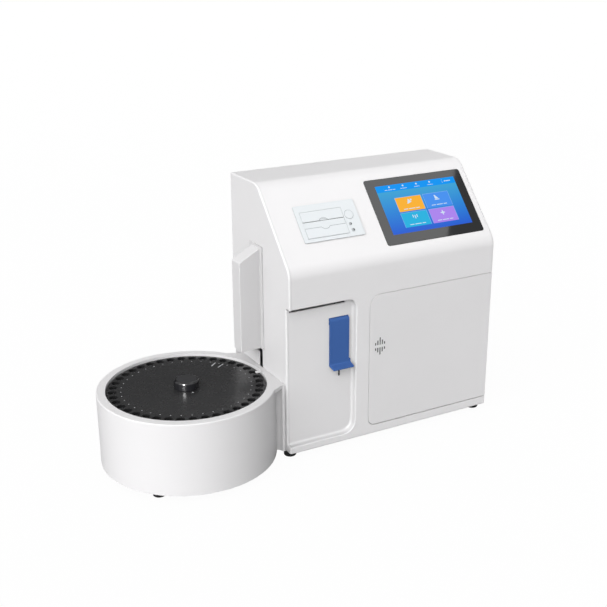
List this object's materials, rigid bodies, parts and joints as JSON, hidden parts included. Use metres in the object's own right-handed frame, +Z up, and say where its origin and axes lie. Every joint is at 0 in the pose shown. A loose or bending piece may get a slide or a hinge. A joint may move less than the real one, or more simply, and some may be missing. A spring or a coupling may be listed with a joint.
{
  "type": "electrolyte analyzer",
  "caption": "Bench-top electrolyte analyzer with sloped touch screen, panel printer, sampling flap, hinged service door and a round sample turntable at its side",
  "frame": {"origin": "on the table under the middle of the whole object's box, between its feet's undersides", "axes": "+X to the object's right as a user faces it, +Y from its front to its back, +Z up"},
  "size_m": [0.649, 0.274, 0.422],
  "materials": {
    "shell": "satin white moulded plastic",
    "liner": "matt light grey moulded plastic",
    "bezel": "dark grey printed touch glass, gloss",
    "screen": "lit colour display behind the glass",
    "printer": "pale bluish grey plastic",
    "blue": "mid blue satin plastic",
    "black": "gloss black plastic",
    "rubber": "black rubber",
    "steel": "plain steel",
    "dark": "dark grey plastic",
    "board": "green circuit board",
    "paper": "white thermal paper on its core",
    "pack": "pale grey plastic",
    "silicone": "ivory plastic",
    "lamp": "green lamp lens",
    "grey": "mid grey plastic"
  },
  "bodies": {
    "housing": {"display_glass": "bezel", "display_module": "screen", "printer_frame": "printer", "printer_mechanism": "dark", "paper_roll": "paper", "status_lamp": "lamp", "drum_shell": "shell", "drum_base": "grey", "turntable_motor": "dark", "drum_foot_front": "rubber", "drum_foot_rear": "rubber", "front_cover": "shell", "left_side_cover": "shell", "right_side_cover": "shell", "rear_panel": "shell", "base_plate": "steel", "bay_liner": "liner", "door_pin_top": "steel", "door_pin_bottom": "steel", "door_catch": "dark", "flap_pin": "steel", "tower_cover": "shell", "sampler_frame": "steel", "guide_rod_front": "steel", "guide_rod_rear": "steel", "lift_motor": "dark", "power_inlet": "black", "data_ports": "dark", "main_board": "board", "power_supply": "steel", "pump_body": "grey", "pump_tube": "silicone", "electrode_rack": "dark", "reagent_pack": "pack", "electrode_1": "silicone", "electrode_2": "silicone", "electrode_3": "silicone", "electrode_4": "silicone", "electrode_5": "silicone", "foot_front_left": "rubber", "foot_front_right": "rubber", "foot_rear_left": "rubber", "foot_rear_right": "rubber"},
    "door": {"door_panel": "shell"},
    "sampling_flap": {"sampling_flap": "blue", "sampling_probe": "black"},
    "turntable": {"tray_disc": "black", "tray_shelf": "grey", "tray_knob": "black", "turntable_spindle": "steel"},
    "sampler_arm": {"sampler_arm": "grey", "sample_needle": "steel"},
    "lead_screw": {"lead_screw": "steel"},
    "printer_lid": {"printer_lid": "printer"},
    "platen": {"platen_roller": "rubber"},
    "release_button": {"lid_release_button": "printer"},
    "feed_button": {"feed_button": "grey"},
    "pump_rotor": {"pump_rotor": "black"},
    "power_rocker": {"power_rocker": "black"}
  },
  "joints": [
    {"name": "door_hinge", "type": "hinge", "parent": "housing", "child": "door", "pos_m": [0.318, -0.0845, 0.131], "axis": [0, 0, 1], "range_deg": [0, 105]},
    {"name": "sampling_flap_hinge", "type": "hinge", "parent": "housing", "child": "sampling_flap", "pos_m": [0.0365, -0.0768, 0.2155], "axis": [-1, 0, 0], "range_deg": [0, 60]},
    {"name": "tray_spin", "type": "hinge", "parent": "housing", "child": "turntable", "pos_m": [-0.1875, 0, 0.119], "axis": [0, 0, 1], "continuous": true},
    {"name": "sampler_arm_lift", "type": "slide", "parent": "housing", "child": "sampler_arm", "axis": [0, 0, -1], "range_m": [0, 0.066]},
    {"name": "lead_screw_spin", "type": "hinge", "parent": "housing", "child": "lead_screw", "pos_m": [-0.0295, 0.0135, 0.201], "axis": [0, 0, 1], "range_deg": [0, 1081]},
    {"name": "printer_lid_hinge", "type": "hinge", "parent": "housing", "child": "printer_lid", "pos_m": [0.0319, -0.05541, 0.34537], "axis": [1, 0, 0], "range_deg": [0, 60]},
    {"name": "platen_spin", "type": "hinge", "parent": "printer_lid", "child": "platen", "pos_m": [0.0319, -0.03753, 0.35678], "axis": [1, 0, 0], "continuous": true},
    {"name": "lid_release_press", "type": "slide", "parent": "housing", "child": "release_button", "axis": [0, 0.7479, -0.6638], "range_m": [0, 0.0015], "stiffness_N_per_m": 400},
    {"name": "feed_button_press", "type": "slide", "parent": "housing", "child": "feed_button", "axis": [0, 0.7479, -0.6638], "range_m": [0, 0.0008], "stiffness_N_per_m": 400},
    {"name": "pump_rotor_spin", "type": "hinge", "parent": "housing", "child": "pump_rotor", "pos_m": [0.1265, -0.0095, 0.199], "axis": [0, -1, 0], "continuous": true},
    {"name": "power_rocker_tilt", "type": "hinge", "parent": "housing", "child": "power_rocker", "pos_m": [0.0465, 0.1076, 0.067], "axis": [-1, 0, 0], "range_deg": [0, 9]}
  ],
  "couplings": [
    {"joint": "lead_screw_spin", "follows": "sampler_arm_lift", "rad_per_m": 285.6}
  ]
}
